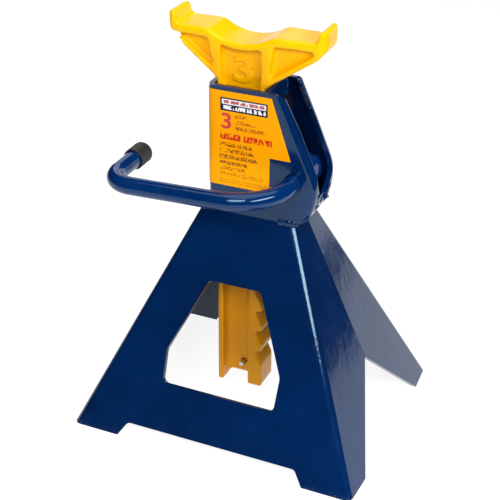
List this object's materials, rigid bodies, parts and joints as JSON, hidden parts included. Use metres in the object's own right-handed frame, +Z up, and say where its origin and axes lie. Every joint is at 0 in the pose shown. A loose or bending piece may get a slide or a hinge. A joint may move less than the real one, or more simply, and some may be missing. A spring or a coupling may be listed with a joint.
{
  "type": "ratchet jack stand",
  "caption": "Ratchet jack stand with a folded steel pyramid base, a sliding toothed column with an axle saddle, and a bent lever that turns its pawl.",
  "frame": {"origin": "on the ground, under the middle of the four feet", "axes": "+Z up along the column; -Y towards the face with the label; +X towards the slot that holds the pawl"},
  "size_m": [0.21, 0.168, 0.2869],
  "materials": {
    "blue_paint": "gloss",
    "yellow_paint": "gloss",
    "zinc_steel": "satin",
    "black_rubber": "matte",
    "label_film": "satin"
  },
  "bodies": {
    "frame": {"front_frame_half": "blue_paint", "rear_frame_half": "blue_paint", "upper_guide_plate": "blue_paint", "lower_guide_plate": "blue_paint", "front_label": "label_film"},
    "column": {"ratchet_column": "yellow_paint", "column_stop_pin": "zinc_steel"},
    "lever": {"lever_handle": "blue_paint", "pawl": "blue_paint", "grip_cap": "black_rubber", "pivot_washer": "zinc_steel", "split_pin": "zinc_steel"}
  },
  "joints": [
    {"name": "column_lift", "type": "slide", "parent": "frame", "child": "column", "axis": [0, 0, 1], "range_m": [0, 0.132]},
    {"name": "lever_lift", "type": "hinge", "parent": "frame", "child": "lever", "pos_m": [0.032, 0, 0.187], "axis": [0, 1, 0], "range_deg": [-9, 25]}
  ]
}
